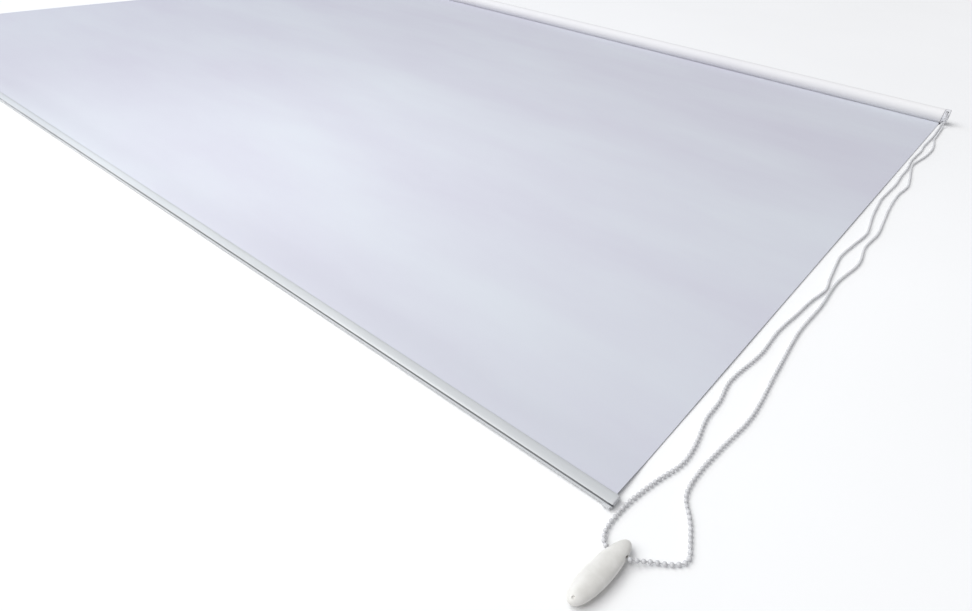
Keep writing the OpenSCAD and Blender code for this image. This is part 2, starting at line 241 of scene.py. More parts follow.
def rod(start, end, radius, sides=32):
    """A round bar from one point to another, for cutting with."""
    start, end = Vector(start), Vector(end)
    bpy.ops.mesh.primitive_cylinder_add(vertices=sides, radius=radius, depth=(end - start).length,
                                        location=(start + end) / 2,
                                        rotation=(end - start).to_track_quat("Z", "Y").to_euler())
    bar = bpy.context.object
    only(bar)
    bpy.ops.object.transform_apply(location=True, rotation=True, scale=True)
    return bar


# %% [markdown]
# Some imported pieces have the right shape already, but their mesh is loose triangles that shade as flats.
# They could be modelled again, but a copy is just as true: its triangles are joined and its flats
# dissolved, and then its edges can be rounded like any other's.


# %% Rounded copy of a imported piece
def rounded_copy(node, name, body, slot, width=0.0):
    """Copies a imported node, joins its triangles, rounds its edges and stands the copy in for it."""
    source = frame["nodes"][node]
    piece = bpy.data.objects.new(name, source.data.copy())
    bpy.context.scene.collection.objects.link(piece)
    piece.data.materials.clear()
    pick_all(piece)
    bpy.ops.mesh.remove_doubles(threshold=2e-6)
    bpy.ops.mesh.dissolve_limited(angle_limit=radians(0.5))
    bpy.ops.object.mode_set(mode="OBJECT")
    if width:
        soften(piece, width)
    return finish_piece(piece, name, body, slot, node)


# %% [markdown]
# ## Bead chain
# The chain is one endless loop: a thin cord with a bead moulded on it every 6 mm. It leaves the housing at
# the top of its wheel, drops to the floor, wanders down beside the fabric, runs through the weight and
# comes back to the bottom of the wheel. A simulation would lay it somewhere else each time its settings
# change, so the route is listed point by point, as the imported model lays it, and smoothed. The beads are
# then set along it at equal steps, because a chain never stretches.

# %% Chain route
lie = 2.3
wheel_pitch_r = bead_pitch / (2 * sin(pi / 12)) / MM
low_exit = housing_r / MM - wheel_pitch_r
high_exit = housing_r / MM + wheel_pitch_r
wheel_u = 6.5
# [past the fabric's edge, from the bar's outer edge, height], in millimetres
outer_route = [
    [6.5, 1527, high_exit], [6.5, 1521, high_exit], [6.7, 1514, 27.6], [7.6, 1507, 22], [9.6, 1502, 14],
    [11.6, 1496, 6.5], [13, 1486, lie], [14, 1455, lie], [15, 1410, lie], [16, 1375, lie], [22, 1340, lie],
    [26, 1295, lie], [24, 1240, lie], [17, 1183, lie], [15, 1160, lie], [19, 1125, lie],
    [28, 1070, lie], [33, 1025, lie], [29, 970, lie], [31, 900, lie], [37, 830, lie],
    [42, 770, lie], [39, 705, lie], [46, 642, lie], [38, 560, lie], [40, 480, lie],
    [38, 400, lie], [45, 300, lie], [52, 207, lie], [46.5, 138, lie], [43.8, 92, lie],
    [47.5, 62, lie], [62, 40, lie], [73, 17.5, lie], [78.3, 2, lie], [71.5, -9, lie],
    [57, -20, 3.2], [48, -29, 5.6], [40, -35, 7], [32, -38.5, 7], [25, -37, 7]
]
inner_route = [
    [6.5, 1527, low_exit], [6.5, 1521, low_exit], [6.7, 1508, 4.2], [7.6, 1490, lie], [9, 1440, lie],
    [10, 1400, lie], [9, 1350, lie], [8, 1300, lie], [10, 1265, lie], [8, 1205, lie], [8, 1180, lie],
    [12, 1125, lie], [12, 1080, lie], [14, 1020, lie], [12, 960, lie], [11, 925, lie],
    [14, 880, lie], [18, 835, lie], [27, 772, lie], [28, 748, lie], [23, 695, lie],
    [19, 645, lie], [21, 618, lie], [28, 558, lie], [32, 528, lie], [26, 482, lie],
    [23, 440, lie], [18, 380, lie], [19, 320, lie], [12, 245, lie], [17, 205, lie],
    [18, 170, lie], [26, 125, lie], [27, 95, lie], [19, 60, lie], [12, 20, lie],
    [11, -8, lie], [13, -22, 2.6], [18, -32, 4.6], [25, -37, 7]
]


def placed(route):
    """A route's points, in metres, where they lie on the floor."""
    return [Vector((edge_x + x * MM, front_y + y * MM, z * MM)) for x, y, z in route]


def smooth(points, step):
    """A curve with no corners through the points: each takes its heading from its two neighbours."""
    ends = [points[0], *points, points[-1]]
    heading = [(c - a).normalized() for a, c in zip(ends, ends[2:])]
    line = []
    for a, b, along_a, along_b in zip(points, points[1:], heading, heading[1:]):
        span = (b - a).length
        parts = ceil(span / step)
        for k in range(parts):
            t = k / parts
            line.append((2 * t ** 3 - 3 * t ** 2 + 1) * a + (3 * t ** 2 - 2 * t ** 3) * b
                        + (t ** 3 - 2 * t ** 2 + t) * span * along_a + (t ** 3 - t ** 2) * span * along_b)
    return [*line, points[-1]]


def line_length(line):
    """How long a line of points is."""
    return sum((b - a).length for a, b in zip(line, line[1:]))


def walk(line, count):
    """count points at equal steps along a line."""
    step = line_length(line) / (count - 1)
    spots, left = [line[0]], step
    for a, b in zip(line, line[1:]):
        span = (b - a).length
        at = left
        while at <= span and len(spots) < count:
            spots.append(a.lerp(b, at / span))
            at += step
        left = at - span
    if len(spots) < count:
        spots.append(line[-1])
    return spots


chain_line = smooth(placed(outer_route) + placed(inner_route[::-1])[1:], 2 * MM)
bead_count = round(line_length(chain_line) / bead_pitch) + 1
bead_spots = walk(chain_line, bead_count)
print("chain", round(line_length(chain_line), 3), "m,", bead_count, "beads")

# %% [markdown]
# One bead is a sphere of a few dozen faces, drawn in a little at its two poles, where the cord comes out.
# A finer one would be rounder from close by, but there are more than five hundred. It is copied to every
# spot, turned along the cord, and the copies are joined with the cord that carries them.


# %% Beads on a cord
def one_bead():
    """A bead at the origin, with its cord along Z."""
    bpy.ops.mesh.primitive_uv_sphere_add(segments=12, ring_count=8, radius=bead_d / 2, location=(0, 0, 0))
    bead = bpy.context.object
    pick_faces(bead, lambda middle, normal: abs(middle.z) > 0.42 * bead_d)
    bpy.ops.transform.resize(value=(1, 1, 0.9), center_override=(0, 0, 0))
    bpy.ops.object.mode_set(mode="OBJECT")
    return bead


def thread(line, radius, sides=3):
    """The cord that the beads sit on, as a thin round tube."""
    curve = bpy.data.curves.new("thread", "CURVE")
    curve.dimensions = "3D"
    curve.bevel_depth = radius
    curve.bevel_resolution = sides - 2
    curve.use_fill_caps = True
    spline = curve.splines.new("POLY")
    spline.points.add(len(line) - 1)
    for point, spot in zip(spline.points, line):
        point.co = (*spot, 1)
    piece = bpy.data.objects.new("thread", curve)
    bpy.context.scene.collection.objects.link(piece)
    only(piece)
    bpy.ops.object.convert(target="MESH")
    return bpy.context.object


def string_beads(spots, line):
    """Copies a bead to each spot, along the way the line runs, and joins them with the thread."""
    bead = one_bead()
    copies = []
    for before, spot, after in zip([spots[0], *spots], spots, [*spots[1:], spots[-1]]):
        copy = bpy.data.objects.new("bead", bead.data.copy())
        turn = (after - before).to_track_quat("Z", "Y").to_matrix().to_4x4()
        copy.data.transform(Matrix.Translation(spot) @ turn)
        bpy.context.scene.collection.objects.link(copy)
        copies.append(copy)
    bpy.data.objects.remove(bead)
    chain = thread(line, 0.65 * MM)
    only(chain)
    for copy in copies:
        copy.select_set(True)
    bpy.ops.object.join()
    return chain


chain = finish_piece(string_beads(bead_spots, walk(chain_line, 2 * bead_count)), "bead_chain", "control_unit",
                     "bead_plastic", "chain_strand_inner", "chain_strand_outer", angle=60)

# %% [markdown]
# The beads that lie in the wheel turn with it, so they are a piece of their own: half a turn of them, one
# in every pocket, from the top of the wheel round its back to the bottom.

# %% Beads in the wheel
wheel_at = Vector((edge_x + wheel_u * MM, axis.y, axis.z))


def wheel_spot(angle):
    """A point on the wheel's pitch circle; 0 is the top, and it goes round the back."""
    return wheel_at + Vector((0, sin(angle), cos(angle))) * wheel_pitch_r * MM


finish_piece(
    string_beads([wheel_spot(k * pi / 6) for k in range(7)], [wheel_spot(k * pi / 36) for k in range(37)]),
    "wheel_beads", "chain_wheel", "bead_plastic", "chain_on_wheel", angle=60)

# %% [markdown]
# ## Fabric
# Blind fabric is a stiff coated weave: it lies flat, with long shallow waves that it keeps from the roll.
# A cloth simulation would let it sag like a bed sheet, so its shape is set directly. A fine grid, closer
# at both ends, is laid over the blind and its height is worked out for each point: low on the floor, up
# into the bar's slot at one end, and up to the front of the roll at the other, where its own curl lifts
# it. Solidify then gives it its half millimetre.

# %% Unrolled sheet
slot_y = bar_high.y - 3 * MM
bar_mid_z = (bar_low.z + bar_high.z) / 2
floor_gap = axis.z - roll_r
ramp = 60 * MM


def ease(t):
    """Goes from 0 to 1 with a soft start and a soft end."""
    t = max(0.0, min(1.0, t))
    return t * t * (3 - 2 * t)


lift_angle = radians(30)
curl_run = 26 * MM
roll_mid_r = roll_r - cloth_t / 2
lift_y = axis.y - roll_mid_r * sin(lift_angle)
lift_z = axis.z - roll_mid_r * cos(lift_angle)


def sheet_height(x, y):
    """Height of the sheet's middle over the floor: slow waves that die out at the bar and at the roll."""
    flat = floor_gap + cloth_t / 2
    curl = (lift_z - flat) * max(0.0, min(1.0, 1 - (lift_y - y) / curl_run)) ** 2
    rise = 1 - ease((y - bar_high.y - 4 * MM) / ramp)
    calm = ease((y - bar_high.y - ramp) / (250 * MM)) * ease((axis.y - 40 * MM - y) / (250 * MM))
    wave = 0.5 * sin(2.1 * x + 5.3 * y) + 0.3 * sin(7.9 * y - 1.4 * x + 1) + 0.2 * sin(5.7 * x + 0.8)
    edge = ease((abs(x) - edge_x + 60 * MM) / (60 * MM)) * (0.5 + 0.5 * sin(9 * y + x))
    return flat + curl + (bar_mid_z - flat) * rise + calm * (0.35 * (wave + 1) + 0.9 * edge) * MM


bpy.ops.mesh.primitive_grid_add(x_subdivisions=200, y_subdivisions=170, size=1, location=(0, 0, 0))
sheet = bpy.context.object
sheet_low, sheet_high = slot_y, lift_y
for vertex in sheet.data.vertices:
    x = vertex.co.x * 2 * edge_x
    share = vertex.co.y + 0.5
    closer = 0.72 * sin(2 * pi * share) / (2 * pi)
    y = sheet_low + (share - closer) * (sheet_high - sheet_low)
    vertex.co = (x, y, sheet_height(x, y))
modify(sheet, "SOLIDIFY", thickness=cloth_t, offset=0)
finish_piece(sheet, "unrolled_fabric", "control_unit", "blind_fabric", "fabric_sheet")

# %% [markdown]
# The fabric that stays on the tube is one long strip rolled up. A turned ring would look the same from the
# front, but its ends would show no layers. So a flat grid is made, and each point's distance along the
# strip becomes a turn round the tube, half a millimetre further in each time round. The strip starts low
# on the roll's front, where the sheet leaves it.

# %% Wound roll
turns = (roll_r - tube_r) / cloth_t
steps_per_turn = 72
bpy.ops.mesh.primitive_grid_add(x_subdivisions=24, y_subdivisions=int(turns * steps_per_turn), size=1)
roll = bpy.context.object
for vertex in roll.data.vertices:
    around = (0.5 - vertex.co.y) * turns * 2 * pi
    radius = roll_r - cloth_t * (0.5 + around / (2 * pi))
    stray = (0.12 * sin(around * 0.37) - 0.12) * MM
    at = around - lift_angle
    vertex.co = axis + Vector((vertex.co.x * 2 * (edge_x + stray), radius * sin(at), -radius * cos(at)))
modify(roll, "SOLIDIFY", thickness=0.84 * cloth_t, offset=0)
finish_piece(roll, "wound_fabric", "roller", "blind_fabric", "fabric_roll", angle=50)

# %% [markdown]
# ## Bottom bar
# The bar is an aluminium extrusion, so it is made as the real one is: its section is drawn once and run
# along X, a flat oval with a groove in its front shoulder and a slot at the back that the fabric slides
# into. Edges drawn in the section stay straight over the whole length, which separate cuts would not.

# %% Bar section
bar_a = (bar_high.y - bar_low.y) / 2
bar_b = (bar_high.z - bar_low.z) / 2
bar_y = (bar_low.y + bar_high.y) / 2


def oval(a, b, y=0.0, count=96):
    """A flat oval about the bar's middle, a little squarer than an ellipse, as (y, z) points."""
    points = []
    for k in range(count):
        c, s = cos(2 * pi * k / count), sin(2 * pi * k / count)
        points.append((bar_y + y + a * abs(c) ** 0.8 * (1 if c > 0 else -1),
                       bar_mid_z + b * abs(s) ** 0.8 * (1 if s > 0 else -1)))
    return points


def notched(section, mouth_y, mouth_z, angle, half, depth, lip=0.15 * MM):
    """Cuts a straight-sided groove with rounded lips into a section, from a point on it inwards."""
    out = Vector((-sin(angle), cos(angle)))
    along = Vector((cos(angle), sin(angle)))
    mouth = Vector((bar_y + mouth_y, bar_mid_z + mouth_z))

    def stays(point):
        off = Vector(point) - mouth
        return abs(off.dot(along)) > half + lip or off.dot(out) < -2 * MM

    wall = [(half + 0.6 * lip, -0.1 * lip), (half, -lip), (half, -depth + lip), (half - lip, -depth),
            (lip - half, -depth), (-half, lip - depth), (-half, -lip), (-half - 0.6 * lip, -0.1 * lip)]
    start = next(k for k, point in enumerate(section) if not stays(point))
    ring = [point for point in section[start:] + section[:start] if stays(point)]
    return ring, [tuple(mouth + along * a + out * o) for a, o in wall]


groove_y, groove_z, groove_turn = -0.87 * bar_a, 0.58 * bar_b, radians(40)
groove_half, groove_deep = 0.75 * MM, 2.6 * MM
hollow_a, hollow_b, hollow_y = 3.2 * MM, 2.3 * MM, -0.6 * MM
slot_half, spline_r, spline_deep = 0.6 * MM, 1.8 * MM, 3.2 * MM
past = 9 * MM


def bar_outline():
    """The bar's section with its groove, in order round the oval."""
    ring, wall = notched(oval(bar_a, bar_b), groove_y, groove_z, groove_turn, groove_half, groove_deep)
    return ring + wall


bar = extruded(bar_outline(), -edge_x, edge_x)
slot_mid = Vector((0, bar_y + bar_a - spline_deep, bar_mid_z))
beyond = Vector((edge_x + MM, 0, 0))
cut(bar,
    block(slot_mid - beyond - Vector((0, 0, slot_half)), slot_mid + beyond + Vector((0, past, slot_half))),
    rod(slot_mid - beyond, slot_mid + beyond, spline_r),
    extruded(oval(hollow_a, hollow_b, hollow_y, 48), -edge_x - MM, edge_x + MM))
finish_piece(bar, "bottom_bar_profile", "bottom_bar", "bar_lacquer", "bar_profile", angle=30)

# %% [markdown]
# An end cap closes the bar with a thick plate that carries the groove on. A bevel stumbles over the
# groove's tight corners, so the plate's end is rounded over in small steps, each section a little smaller
# than the one before. A lip at the front wraps under the bar and stands proud, and a plug reaches into its
# hollow.


# %% End caps
cap_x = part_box("bar_end_cap_right")[1].x
cap_round = 1.3 * MM
plug_gap = 0.05 * MM
lip_run, lip_high = 3.2 * MM, 0.9 * MM


def cap_plate():
    """The grooved plate, with its outer face extruded on and shrunk in steps to round it over."""
    plate = extruded(bar_outline(), edge_x, cap_x - cap_round)
    middle = Vector((cap_x, bar_y, bar_mid_z))
    for k in range(1, 5):
        before, now = pi / 8 * (k - 1), pi / 8 * k
        pick_faces(plate, lambda spot, normal: normal.x > 0.9 and spot.x > edge_x)
        bpy.ops.mesh.extrude_region_move(
            TRANSFORM_OT_translate={"value": (cap_round * (sin(now) - sin(before)), 0, 0)})
        y_share, z_share = ((side - cap_round * (1 - cos(now))) / (side - cap_round * (1 - cos(before)))
                            for side in (bar_a, bar_b))
        bpy.ops.transform.resize(value=(1, y_share, z_share), center_override=middle)
    bpy.ops.object.mode_set(mode="OBJECT")
    return plate


def end_cap(side):
    """The plate, its lip and its plug, joined; the left cap is the right one mirrored."""
    plate = cap_plate()
    proud = bar_low.y - front_y
    inner_x = edge_x - past
    lip = extruded(oval(bar_a + proud / 2, bar_b + 0.4 * MM, -proud / 2), edge_x - 4 * MM, cap_x - 1.2 * MM)
    high = bar_mid_z + lip_high
    cut(lip,
        block((inner_x, bar_low.y + lip_run, -past), (cap_x + MM, bar_high.y + past, 2 * past)),
        block((inner_x, front_y - past, high), (cap_x + MM, bar_high.y, 2 * past)),
        block((inner_x, front_y - past, -past), (cap_x + MM, bar_high.y, 0)),
        extruded(oval(bar_a, bar_b), inner_x, edge_x))
    soften(lip, 0.45 * MM, 3, 40)
    plug = extruded(oval(hollow_a - plug_gap, hollow_b - plug_gap, hollow_y, 48),
                    edge_x - 12 * MM, edge_x + 0.4 * MM)
    only(plate)
    plug.select_set(True)
    lip.select_set(True)
    bpy.ops.object.join()
    if side < 0:
        plate.data.transform(Matrix.Scale(-1, 4, (1, 0, 0)))
        plate.data.flip_normals()
    return plate


finish_piece(end_cap(1), "bar_cap_right", "bottom_bar", "cap_plastic", "bar_end_cap_right", angle=40)
finish_piece(end_cap(-1), "bar_cap_left", "bottom_bar", "cap_plastic", "bar_end_cap_left", angle=40)

# %% [markdown]
# ## Chain housing
# The housing is a shallow moulded cup that hides the chain wheel. A cylinder could be inset and extruded
# into it, but one outline spun once gives its rounded rim, the ring sunk in its face and the hole of its
# socket in one go. Two slots are then cut in its front for the two strands of the chain.

# %% Housing and its cover
cover_u, cover_t, wall_t = 1, 1.4, 1.4
outer_u = (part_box("control_housing")[1].x - edge_x) / MM
housing_mm = housing_r / MM
seam, fit, chamfer = 0.1, 0.05, 0.3
ring_out, ring_in, ring_deep = 12.2, 9.0, 0.5
socket_mm, cover_hole, spigot_u = 7.02, 10.4, 3.6
rim = 1.0
rim_arc = [(outer_u - rim + rim * sin(k * pi / 8), housing_mm - rim + rim * cos(k * pi / 8))
           for k in range(5)]
cup = turned([
    (cover_u + cover_t + seam, housing_mm - wall_t), (cover_u + cover_t + seam, housing_mm), *rim_arc,
    (outer_u, ring_out), (outer_u - ring_deep, ring_out - ring_deep),
    (outer_u - ring_deep, ring_in + ring_deep), (outer_u, ring_in), (outer_u, socket_mm),
    (outer_u - wall_t, socket_mm), (outer_u - wall_t, housing_mm - wall_t)
])
mouth = bead_d / MM + 1.2


def mouth_cutter(side):
    """A rounded block that opens the housing's front for one strand, the upper one or the lower one."""
    middle = axis + Vector((edge_x + wheel_u * MM, 0, side * wheel_pitch_r * MM))
    half = mouth / 2 * MM
    cutter = block(middle - Vector((half, 2 * housing_r, half)), middle + Vector((half, 0, half)))
    return soften(cutter, 0.8 * MM, 3)


cut(cup, mouth_cutter(1), mouth_cutter(-1))
soften(cup, 0.2 * MM, 2)
finish_piece(cup, "chain_housing", "control_unit", "housing_plastic", "control_housing")
cover = turned([
    (cover_u, cover_hole), (cover_u, housing_mm - chamfer), (cover_u + chamfer, housing_mm),
    (cover_u + cover_t - seam, housing_mm), (cover_u + cover_t, housing_mm - 1.5 * seam),
    (cover_u + cover_t, housing_mm - wall_t - fit), (spigot_u, housing_mm - wall_t - fit),
    (spigot_u, housing_mm - 2 * wall_t), (cover_u + cover_t, housing_mm - 2 * wall_t),
    (cover_u + cover_t, cover_hole)
])
finish_piece(cover, "chain_housing_cover", "control_unit", "housing_plastic", "housing_cover")

# %% [markdown]
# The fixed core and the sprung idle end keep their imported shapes, with their edges rounded. The spring's
# copy keeps its edges: it is there because a copy can shorten when the pin is pushed in.

# %% Rounded copies
rounded_copy("control_core", "fixed_core", "control_unit", "core_plastic", 0.15 * MM)
rounded_copy("idle_plug", "idle_end_plug", "roller", "housing_plastic", 0.15 * MM)
rounded_copy("idle_bearing", "idle_end_bearing", "idle_bearing", "wheel_plastic", 0.12 * MM)
rounded_copy("idle_pin", "sprung_pin", "idle_pin", "zinc_steel", 0.12 * MM)
pin_spring = rounded_copy("idle_spring", "pin_spring", "idle_bearing", "spring_steel")

# %% [markdown]
# ## Chain weight
# The weight is an egg-shaped pod in two moulded halves. Each half could be a box smoothed by subdivision,
# but two such halves seldom meet cleanly. So a sphere is drawn out to its length and its rings are pulled
# to an egg, wider towards its free tip. It is then hollowed and cut along the middle into two shells, the
# lower one a little smaller, so that the seam is a fine shadow.

# %% Weight shells
weight_l, weight_w, weight_t = 80 * MM, 22.4 * MM, 14 * MM
weight_at = Vector((edge_x + 30.6 * MM, front_y - 58.4 * MM, weight_t / 2))
weight_place = Matrix.Translation(weight_at) @ Matrix.Rotation(radians(-4.5), 4, "Z")
pod_wall, lower_inset, half_seam = 1.8 * MM, 0.15 * MM, 0.06 * MM
screw_y = -36 * MM
dimple_r, dimple_floor = 1.4 * MM, 2.9 * MM
screw_r, screw_top = 1 * MM, 2.2 * MM
head_r, head_seat = 2.2 * MM, -1.4 * MM
far = 20 * MM
tunnel_r = 3 * MM


def egg(inset):
    """The pod's outline, a distance inside its skin: blunter than an ellipse, and wider at its free tip."""
    bpy.ops.mesh.primitive_uv_sphere_add(segments=64, ring_count=40, radius=1, rotation=(-pi / 2, 0, 0))
    pod = only(bpy.context.object)
    bpy.ops.object.transform_apply(location=True, rotation=True, scale=True)
    blunt, lean, widest = 0.42, 0.12, 1.009
    for vertex in pod.data.vertices:
        s = max(-1.0, min(1.0, vertex.co.y))
        ring = sqrt(max(1e-9, 1 - s * s))
        swell = max(1e-9, 1 - s * s) ** blunt * (1 - lean * s) / widest
        vertex.co = (vertex.co.x / ring * swell * (weight_w / 2 - inset), s * (weight_l / 2 - inset),
                     vertex.co.z / ring * swell * (weight_t / 2 - inset))
    return pod


def weight_shell(upper):
    """One half of the pod, with the dimple or the screw's hole near its tip and the chain's tunnel."""
    shell = egg(0 if upper else lower_inset)
    cut(shell, egg(pod_wall))
    half = block((-weight_w, -weight_l, -weight_t if upper else -half_seam),
                 (weight_w, weight_l, half_seam if upper else weight_t))
    cut(shell, half)
    if upper:
        cut(shell, rod((0, screw_y, dimple_floor), (0, screw_y, far), dimple_r))
    else:
        cut(shell, rod((0, screw_y, -far), (0, screw_y, screw_top), screw_r, 24),
            rod((0, screw_y, -far), (0, screw_y, head_seat), head_r))
    shell.data.transform(weight_place)
    tunnel_line = [spot for spot in chain_line if (spot - weight_at).length < weight_l / 2]
    cut(shell, thread(tunnel_line, tunnel_r, 8))
    return soften(shell, 0.1 * MM, 2, 40)


for upper, name, node in ((True, "weight_top_half", "weight_upper_shell"),
                          (False, "weight_bottom_half", "weight_lower_shell")):
    finish_piece(weight_shell(upper), name, "control_unit", "weight_plastic", node)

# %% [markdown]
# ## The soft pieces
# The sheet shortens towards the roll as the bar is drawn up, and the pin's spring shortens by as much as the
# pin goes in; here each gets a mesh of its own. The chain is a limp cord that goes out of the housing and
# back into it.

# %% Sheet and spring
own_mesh(sheet)
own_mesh(pin_spring)

# %% [markdown]
# ## Materials
# Every finish is worked out on the surface itself from Object coordinates, which are metres in the row's
# frame, so a pattern's size follows from a size in millimetres. A plain value is set on the shader's own
# socket.

# %% Nodes, colours and patterns


def linear(code):
    """An sRGB hex colour as the linear light that a shader works in."""
    parts = [int(code[k:k + 2], 16) / 255 for k in (1, 3, 5)]
    return [c / 12.92 if c <= 0.04045 else ((c + 0.055) / 1.055) ** 2.4 for c in parts] + [1]


def add(tree, kind, links=None, inputs=None, **settings):
    """Adds a node, sets its settings and inputs, and links other nodes' outputs to its inputs."""
    node = tree.nodes.new(kind)
    for key, value in settings.items():
        setattr(node, key, value)
    for key, value in (inputs or {}).items():
        node.inputs[key].default_value = value
    for key, source in (links or {}).items():
        tree.links.new(source, node.inputs[key])
    return node


def new_material(name, roughness, base, **shader):
    """A material with one Principled shader; returns it with its node tree and the shader."""
    material = bpy.data.materials.new(name)
    material.use_nodes = True
    tree = material.node_tree
    principled = tree.nodes["Principled BSDF"]
    principled.inputs["Base Color"].default_value = linear(base)
    principled.inputs["Roughness"].default_value = roughness
    for key, value in shader.items():
        principled.inputs[key.replace("_", " ")].default_value = value
    print("material", name)
    return material, tree, principled


def places(tree, scale):
    """Object coordinates, scaled so that a pattern of size 1 comes out at 1 / scale metres."""
    spot = add(tree, "ShaderNodeTexCoord")
    scaled = add(tree, "ShaderNodeMapping", {"Vector": spot.outputs["Object"]}, {"Scale": scale})
    return scaled.outputs["Vector"]


def mottle(tree, principled, size_mm, low, high, detail=3, stretch=(1, 1, 1)):
    """Slow colour variation between two close colours, on patches of a size in millimetres."""
    where = places(tree, [1000 / size_mm / s for s in stretch])
    noise = add(tree, "ShaderNodeTexNoise", {"Vector": where},
                {"Scale": 1, "Detail": detail, "Roughness": 0.55})
    blend = add(tree, "ShaderNodeValToRGB", {"Fac": noise.outputs["Fac"]})
    for stop, place, code in zip(blend.color_ramp.elements, (0.32, 0.68), (low, high)):
        stop.position = place
        stop.color = linear(code)
    tree.links.new(blend.outputs["Color"], principled.inputs["Base Color"])


def grain(tree, principled, size_mm, height_mm, stretch=(1, 1, 1), detail=2):
    """Fine relief on the surface, of a grain size and height in millimetres."""
    where = places(tree, [1000 / size_mm / s for s in stretch])
    noise = add(tree, "ShaderNodeTexNoise", {"Vector": where}, {"Scale": 1, "Detail": detail})
    bump = add(tree, "ShaderNodeBump", {"Height": noise.outputs["Fac"]},
               {"Distance": height_mm * MM, "Strength": 1})
    tree.links.new(bump.outputs["Normal"], principled.inputs["Normal"])


def wear(tree, principled, size_mm, low, high):
    """Roughness that drifts between two values, as handling leaves it."""
    where = places(tree, [1000 / size_mm] * 3)
    noise = add(tree, "ShaderNodeTexNoise", {"Vector": where}, {"Scale": 1, "Detail": 4})
    spread = add(tree, "ShaderNodeMapRange", {"Value": noise.outputs["Fac"]},
                 {"From Min": 0.3, "From Max": 0.7, "To Min": low, "To Max": high})
    tree.links.new(spread.outputs["Result"], principled.inputs["Roughness"])


# %% [markdown]
# ### Coated polyester weave
# Blackout and dim-out blinds are a plain polyester weave with a matt acrylic coat. The eye sees a cool
# white sheet with slow streaks along the roller, where the coat took a little differently, and a faint
# cross of threads. Real threads are 0.35 mm apart, which is too fine to show, so they are drawn 1.4 mm
# apart. The face that turns to the room, seen here on the roll, has the thicker coat and is the whiter of
# the two.

# %% Fabric
thread_mm = 1.4
WAVE_PERIOD = 2 * pi / 20  # a wave texture of scale 1 repeats at this distance


def coated_weave(name, low, high, base, roughness):
    """The weave's finish for one face of the cloth: streaks in the coat, and threads both ways."""
    material, tree, principled = new_material(name, roughness, base, Sheen_Weight=0.1, Sheen_Roughness=0.6,
                                              IOR=1.45)
    mottle(tree, principled, 230, low, high, 6, (3.2, 1, 1))
    where = places(tree, [1, 1, 1])
    scale = WAVE_PERIOD / (thread_mm * MM)
    warp = add(tree, "ShaderNodeTexWave", {"Vector": where}, {"Scale": scale}, bands_direction="X")
    weft = add(tree, "ShaderNodeTexWave", {"Vector": where}, {"Scale": scale}, bands_direction="Y")
    cloth = add(tree, "ShaderNodeMath", {0: warp.outputs["Fac"], 1: weft.outputs["Fac"]}, operation="MAXIMUM")
    relief = add(tree, "ShaderNodeBump", {"Height": cloth.outputs["Value"]},
                 {"Distance": 0.05 * MM, "Strength": 0.6})
    tree.links.new(relief.outputs["Normal"], principled.inputs["Normal"])
    return material


fabric = coated_weave("coated_polyester_weave_back", "#C6C5D1", "#CDD0D8", "#CACBD5", 0.78)
rolled_fabric = coated_weave("coated_polyester_weave_face", "#E0DFE1", "#E8E7E7", "#E4E3E4", 0.7)

# %% [markdown]
# ### Moulded plastics
# ABS and acetal parts come from polished or finely eroded moulds: an even colour, a satin shine that
# drifts a little where they were handled, and a faint grain.


# %% Plastics
def moulded(name, low, high, roughness, grain_mm, height_mm, **shader):
    """A plastic's finish between two close colours, with a grain of a size and height in millimetres."""
    material, tree, principled = new_material(name, roughness, low, **shader)
    mottle(tree, principled, 9, low, high)
    grain(tree, principled, grain_mm, height_mm)
    wear(tree, principled, 6, roughness - 0.06, roughness + 0.08)
    return material


housing = moulded("moulded_abs_satin", "#DADADD", "#DFDFE2", 0.38, 0.5, 0.01, IOR=1.53)
caps = moulded("moulded_abs_grained", "#C6C8CA", "#D0D1D3", 0.45, 0.6, 0.02, IOR=1.53)
wheel = moulded("moulded_acetal", "#DCDCE0", "#E4E4E7", 0.32, 0.5, 0.01, IOR=1.48)
beads = moulded("moulded_acetal_beads", "#C6C6C8", "#D2D2D4", 0.4, 0.6, 0.01, IOR=1.48)
weight = moulded("moulded_polystyrene", "#DAD8D3", "#E4E2DE", 0.36, 0.8, 0.015, IOR=1.59)
# The weight's lower half gets a darker copy of the weight's finish: painted shade for its shadow side.
weight_shade_half = moulded("moulded_polystyrene_painted_shade", "#B9B5AC", "#C5C1B8", 0.42, 0.8, 0.015, IOR=1.59)
core = moulded("moulded_nylon", "#9C9EA3", "#A8AAAE", 0.48, 0.5, 0.02, IOR=1.53)
spline_rod = moulded("extruded_pvc_rod", "#E0DDD2", "#EAE7DD", 0.5, 1.2, 0.01, IOR=1.53)
tape = moulded("adhesive_film", "#E8E3D3", "#F0ECDF", 0.34, 2.0, 0.01, IOR=1.47)

# %% [markdown]
# ### Powder coat
# The bar is powder coated: a satin white skin with a very slight orange peel, each bump about 1.2 mm
# across.

# %% Powder coat
lacquer, tree, principled = new_material("powder_coated_aluminium", 0.42, "#C6C8CA", IOR=1.5,
                                         Coat_Weight=0.15)
mottle(tree, principled, 40, "#C3C5C7", "#CBCDCF", 3, (6, 1, 1))
grain(tree, principled, 1.2, 0.015)
wear(tree, principled, 25, 0.36, 0.48)
